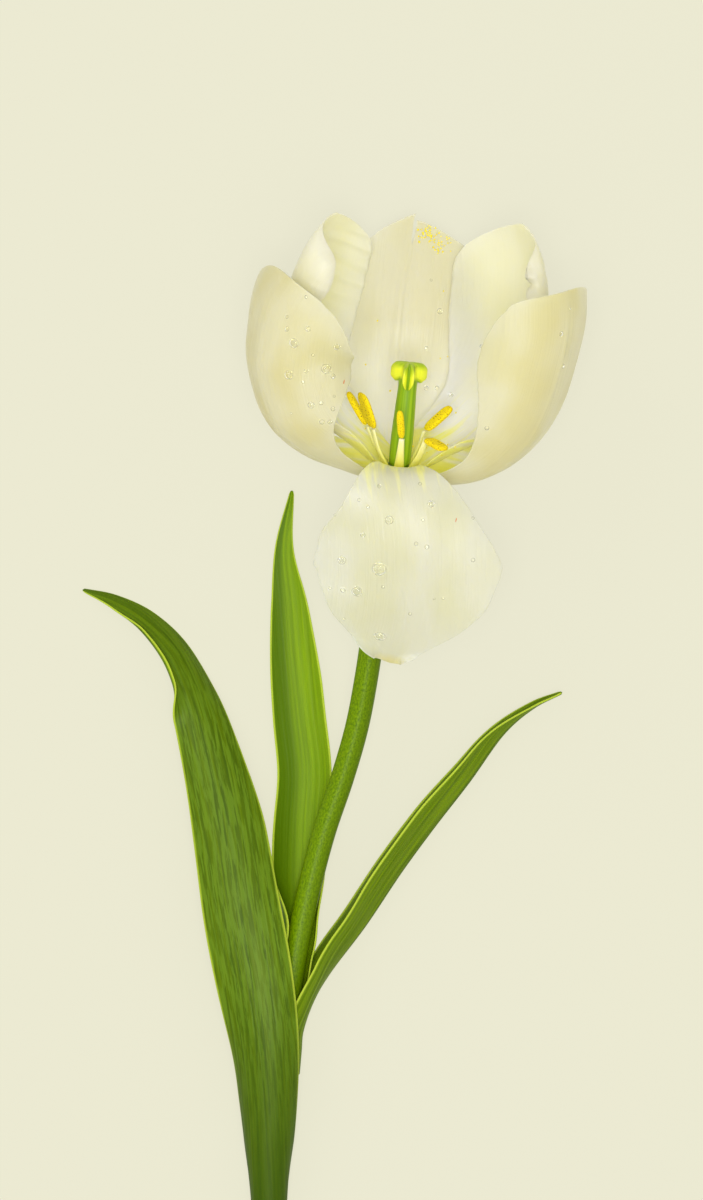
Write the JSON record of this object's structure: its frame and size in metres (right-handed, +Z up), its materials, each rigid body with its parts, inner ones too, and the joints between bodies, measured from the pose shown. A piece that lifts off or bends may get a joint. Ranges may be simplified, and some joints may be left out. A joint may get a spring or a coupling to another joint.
{
  "type": "tulip",
  "caption": "Cut tulip lying flat: slender curved stem, long sheathing leaves and an open cream cup-shaped flower with a fallen front petal, yellow anthers and a green pistil.",
  "frame": {"origin": "middle of the underside of the box around the whole plant, on the surface that it lies on", "axes": "X is across the stem, Y runs from the cut end of the stem to the flower, Z is up from the surface"},
  "size_m": [0.132, 0.2852, 0.066],
  "materials": {
    "stem": "satin",
    "leaf": "satin",
    "pale_leaf": "satin",
    "petal": "satin",
    "filament": "satin",
    "anther": "matte",
    "pistil": "satin"
  },
  "bodies": {
    "root": {"stem": "stem", "leaf_left": "leaf", "leaf_back": "pale_leaf", "leaf_right": "leaf", "petal_back_centre": "petal", "petal_front_left": "petal", "petal_front_right": "petal", "petal_back_left": "petal", "petal_back_right": "petal", "petal_front": "petal", "filament_front": "filament", "filament_front_left": "filament", "filament_back_left": "filament", "filament_back": "filament", "filament_back_right": "filament", "filament_front_right": "filament", "anther_front": "anther", "anther_front_left": "anther", "anther_back_left": "anther", "anther_back": "anther", "anther_back_right": "anther", "anther_front_right": "anther", "pistil": "pistil"}
  },
  "joints": []
}
